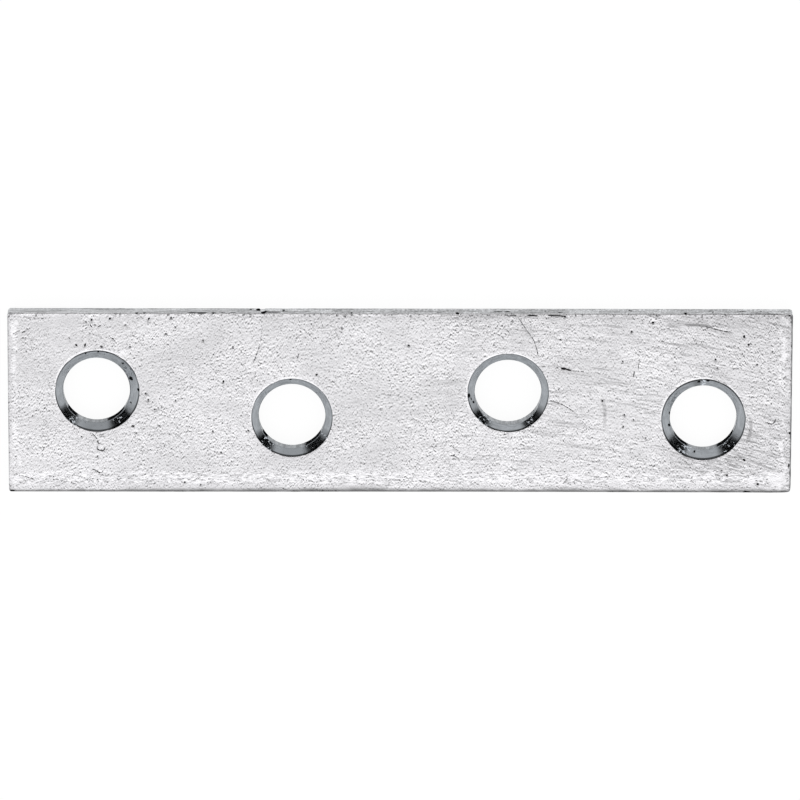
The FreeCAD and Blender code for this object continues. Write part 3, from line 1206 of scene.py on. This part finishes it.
def with_painted_edge_light_and_rubbing(level, place, grain):
    """The front's level with painted light and shade along its edges, and with its grey rubbed lines.
    """
    x, y, _ = place.parts()
    crest = slit_crest(y)
    # Painted wavy highlights on the crest, and painted shade by the right-hand part of the crisp edge
    waves = noise(place, (0.9, 3.6, 2.0), detail=1.0, distortion=0.8)
    crisp_side_shade = y.ramp(7.9, 8.7) * x.ramp(-28.0, -8.0, 0.0, 0.09)
    painted_top_shade = within(place, (33.0, 8.5), (7.0, 1.6))
    dimming = grain * 0.6 + mesh_field(place.tree, "dull")
    # Painted shade on the crest, painted wavy highlights on it, painted shade towards the slit edge and
    # by the crisp edge, then the roll-overs' painted shade with the grey rubbed lines
    level = level.mixed(crest * 0.13, 0.0)
    level = level.mixed(waves.between(0.40, 0.60) * crest, 0.97)
    level = level.mixed(y.ramp(-7.7, -8.4, 0.0, 0.12), 0.0)
    level = level.mixed(painted_top_shade * 0.1, 0.0)
    level = level.mixed(crisp_side_shade, 0.0)
    return level.mixed(dimming.ramp(0.34, 1.2, shape="LINEAR"), 0.11)


def zinc_finish(place, light, is_front):
    """The rolled face under its zinc: short dashes, wisps with painted lit and shaded sides along the
    strip, and streaks.

    light is the grey level of plain zinc. Only the front has scuffs, painted highlights and painted
    edge shade.
    """
    grain_place = arched(place, rise=0.0035)
    cloud = noise(place, (0.13, 0.19, 0.16), detail=4.0, roughness=0.7)
    wisps = noise(grain_place, (1.1, 4.0, 3.0), roughness=0.55, distortion=0.7)
    streaks = noise(grain_place, (0.35, 5.5, 4.0), detail=3.0, roughness=0.65)
    shade, grain = grain_shade(grain_place, wisps)
    x, _, _ = place.parts()
    rightwards = x.ramp(-8.0, 24.0, 0.1, 0.75)
    shade = shade * grain_strength(place, is_front) * 1.2 + (streaks - 0.5) * rightwards * 0.9
    level = (shade + 1.0).math("MAXIMUM", 0.12) * light
    level = level.mixed(streaks.ramp(0.44, 0.32) * rightwards, light * 0.55)
    level = level * cloud.ramp(0.3, 0.7, 0.91, 1.06)
    if is_front:
        level = with_scuffs_and_sheen(level, place, grain, light)
        level = with_painted_edge_light_and_rubbing(level, place, grain)
    roughness = grain.ramp(0.3, 0.7, 0.42, 0.3)
    height = grain * 0.7 + wisps * 0.3
    return level, (1.008, 1.025), roughness, height, 0.05


def edge_finish(place):
    """The cut edges: duller, with shear lines through the thickness and smeared zinc along them."""
    drawn = noise(place, (0.4, 0.4, 2.8), detail=3.0, roughness=0.6, distortion=0.4)
    patches = noise(place, (0.4, 0.4, 1.2), roughness=0.6)
    speckle = noise(place, (4.0, 4.0, 3.0), roughness=0.6)
    grit = noise(place, (5.0, 5.0, 2.2), detail=1.0)
    x, _, _ = place.parts()
    level = drawn.ramp(0.32, 0.68, 0.34, 0.66)
    level = level.mixed(patches.ramp(0.55, 0.75, 0.0, 0.5), 0.72)
    level = level.mixed(speckle.ramp(0.42, 0.30, 0.0, 0.6), 0.16)
    level = level.mixed(speckle.ramp(0.60, 0.72, 0.0, 0.6), 0.85)
    level = level * ((grit - 0.5) * x.ramp(-28.0, 0.0, 0.5, 1.6) + 1.0)
    roughness = drawn.ramp(0.3, 0.7, 0.5, 0.38)
    return level, (0.982, 1.025), roughness, drawn, 0.03


def sink_finish(place):
    """The pressed cones: smooth and bluish, with fine turned lines, painted shade on the rim and in
    dark sectors, painted light on the side towards the crisp edge and painted glints.
    """
    smears = noise(place, (1.1, 1.1, 5.0), detail=3.0, roughness=0.6, distortion=0.8)
    speckle = noise(place, (4.0, 4.0, 9.0), roughness=0.6, distortion=0.3)
    glint_spots = noise(place, (3.4, 3.4, 4.4), roughness=0.6, distortion=0.4)
    # Painted light on the side towards the crisp edge, painted glints in the dark crescents, and
    # painted shade on the rim and in dark sectors
    painted_light = (glint_spots + mesh_field(place.tree, "worn") * 0.5).ramp(0.72, 0.82)
    fleck = (glint_spots + mesh_field(place.tree, "fleck") * 0.5).ramp(0.80, 0.87)
    dimming = smears * 0.5 + mesh_field(place.tree, "dull")
    level = smears.ramp(0.3, 0.7, 0.31, 0.42)
    level = level.mixed(painted_light, smears.ramp(0.3, 0.7, 0.37, 0.54))
    level = level.mixed(speckle.ramp(0.36, 0.26, 0.0, 0.5), 0.12)
    level = level.mixed(dimming.ramp(0.4, 1.1), 0.06)
    level = level.mixed(fleck, 0.9)
    roughness = smears.ramp(0.3, 0.7, 0.09, 0.16).mixed(painted_light, 0.4).mixed(fleck, 0.6)
    height = smears * 0.7 + speckle * 0.3
    return level, (0.945, 1.06), roughness, height, 0.012


def bore_finish(place):
    """The punched bores, with upright shear lines."""
    shear = noise(place, (3.5, 3.5, 0.5), detail=3.0, roughness=0.6)
    level = shear.ramp(0.35, 0.65, 0.27, 0.40)
    roughness = shear.ramp(0.3, 0.7, 0.5, 0.35)
    return level, (0.95, 1.05), roughness, shear, 0.01


def dress_plate():
    """Makes the plate, dresses it and puts it in the place of the frame's node."""
    plate = make_plate()
    for name, finish, *settings in (
        ("zinc_front", zinc_finish, 0.72, True),
        ("cut_edge", edge_finish),
        ("countersink", sink_finish),
        ("bore_wall", bore_finish),
        ("zinc_back", zinc_finish, 0.74, False),
    ):
        plate.data.materials.append(metal_material(name, finish, *settings))
    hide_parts("plate")
    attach(plate, "root")


# Studio, in metres
studio_radius = 0.6  # from the plate to the lamp and the cards
floor_size = 6.0
floor_gap = 0.02 * mm  # between the floor and the plate's back face


def aim_inwards(thing, azimuth, from_zenith):
    """Puts a lamp or a card in the studio, facing the plate.

    azimuth is its turn from +Y towards +X and from_zenith its angle from straight up, in degrees.
    """
    a, z = math.radians(azimuth), math.radians(from_zenith)
    outward = Vector((math.sin(a) * math.sin(z), math.cos(a) * math.sin(z), math.cos(z)))
    thing.location = outward * studio_radius
    thing.rotation_euler = (-thing.location).to_track_quat("-Z", "Y").to_euler()


def soft_lamp(name, azimuth, from_zenith, size, strength):
    """A square soft lamp whose radiance is strength."""
    data = bpy.data.lights.new(name, "AREA")
    data.shape = "SQUARE"
    data.size = size
    data.energy = strength * math.pi * size**2
    lamp = add_object(name, data)
    lamp.visible_camera = False
    aim_inwards(lamp, azimuth, from_zenith)


def flat_sheet(name, width, height, material):
    """A flat rectangular sheet of the studio's."""
    mesh = bpy.data.meshes.new(name)
    w, h = width / 2, height / 2
    mesh.from_pydata([(-w, -h, 0), (w, -h, 0), (w, h, 0), (-w, h, 0)], [], [(0, 1, 2, 3)])
    mesh.materials.append(material)
    return add_object(name, mesh)


def reflected_card(name, azimuth, from_zenith, width, height, material):
    """A flat card that the metal reflects and the camera doesn't see."""
    card = flat_sheet(name, width, height, material)
    card.visible_camera = False
    card.visible_shadow = False
    card.visible_diffuse = False
    aim_inwards(card, azimuth, from_zenith)


def matt_black(name, soft):
    """Matt black for the cards. It thins out over this share of a card's width at its two sides."""
    material, tree, shader = new_material(name)
    if soft:
        across, _, _ = Value(add_node(tree, "ShaderNodeTexCoord"), "Generated").parts()
        sides = across.ramp(0.0, soft) * across.ramp(1.0, 1.0 - soft)
        tree.links.new(sides.socket, shader.inputs["Alpha"])
    shader.inputs["Base Color"].default_value = (0.01, 0.01, 0.01, 1)
    shader.inputs["Roughness"].default_value = 1.0
    return material


def seen_plainly(tree):
    """1 for the camera's rays and for those that gloss and glass send out."""
    path = add_node(tree, "ShaderNodeLightPath")
    either = Value(path, "Is Camera Ray").math("MAXIMUM", Value(path, "Is Glossy Ray"))
    return either.math("MAXIMUM", Value(path, "Is Transmission Ray"))


def make_world():
    """White to the eye and in reflections, and a plain grey as a light."""
    world = bpy.data.worlds.new("studio")
    bpy.context.scene.world = world
    world.use_nodes = True
    tree = world.node_tree
    background = tree.nodes["Background"]
    background.inputs["Color"].default_value = (1, 1, 1, 1)
    strength = add_node(tree, "ShaderNodeMapRange", Value=seen_plainly(tree), To_Min=0.7, To_Max=1.0)
    tree.links.new(strength.outputs[0], background.inputs["Strength"])


def floor_white():
    """White paper that glows to the eye, so that it is white there but still takes a faint shadow."""
    material, tree, shader = new_material("floor_white")
    tree.nodes.remove(shader)
    paper = add_node(tree, "ShaderNodeBsdfDiffuse", Color=(0.8, 0.8, 0.8, 1))
    lit = add_node(tree, "ShaderNodeBsdfDiffuse", Color=(0.13, 0.13, 0.13, 1))
    glow = add_node(tree, "ShaderNodeEmission", Color=(1, 1, 1, 1), Strength=0.92)
    seen = add_node(tree, "ShaderNodeAddShader", i0=Value(lit), i1=Value(glow))
    both = add_node(tree, "ShaderNodeMixShader", i0=seen_plainly(tree), i1=Value(paper), i2=Value(seen))
    tree.links.new(both.outputs[0], tree.nodes["Material Output"].inputs["Surface"])
    return material


def make_floor():
    """A white floor that keeps a faint shadow of the plate."""
    floor = flat_sheet("floor", floor_size, floor_size, floor_white())
    floor.location.z = cad_low[2] - floor_gap


def make_studio():
    """A soft lamp, and black cards that darken the cones' crescents and give the grain relief."""
    soft_lamp("key", azimuth=180, from_zenith=38, size=0.35, strength=0.5)
    full_black = matt_black("black_card", soft=0.0)
    thinned_black = matt_black("thinned_card", soft=0.3)
    for name, azimuth, from_zenith, width, height, material in (
        ("card_left", -52, 67, 0.62, 0.24, thinned_black),
        ("card_right", 58, 67, 0.53, 0.24, thinned_black),
        ("card_top", 0, 33, 0.70, 0.42, full_black),
    ):
        reflected_card(name, azimuth, from_zenith, width, height, material)


def make_camera():
    """A long lens looking down on the front face, as the photograph does."""
    view_tilt = math.radians(15.8)  # from the plate's normal, towards +Y
    roll = math.radians(0.09)  # of the camera about its own axis
    distance = 0.85
    view_width = 77.83 * mm  # across the frame at the plate
    data = bpy.data.cameras.new("camera")
    data.sensor_width = 36.0
    data.lens = data.sensor_width * distance / view_width
    data.clip_start = 0.05
    data.clip_end = 20.0
    camera = add_object("camera", data)
    target = Vector((0, 0, 0.63 * mm))
    camera.location = target + Vector((0, math.sin(view_tilt), math.cos(view_tilt))) * distance
    tilt_turn = Matrix.Rotation(-view_tilt, 3, "X")
    camera.rotation_euler = (tilt_turn @ Matrix.Rotation(roll, 3, "Z")).to_euler()
    bpy.context.scene.camera = camera


dress_plate()
make_world()
make_floor()
make_studio()
make_camera()
bpy.context.scene.view_settings.view_transform = "Standard"
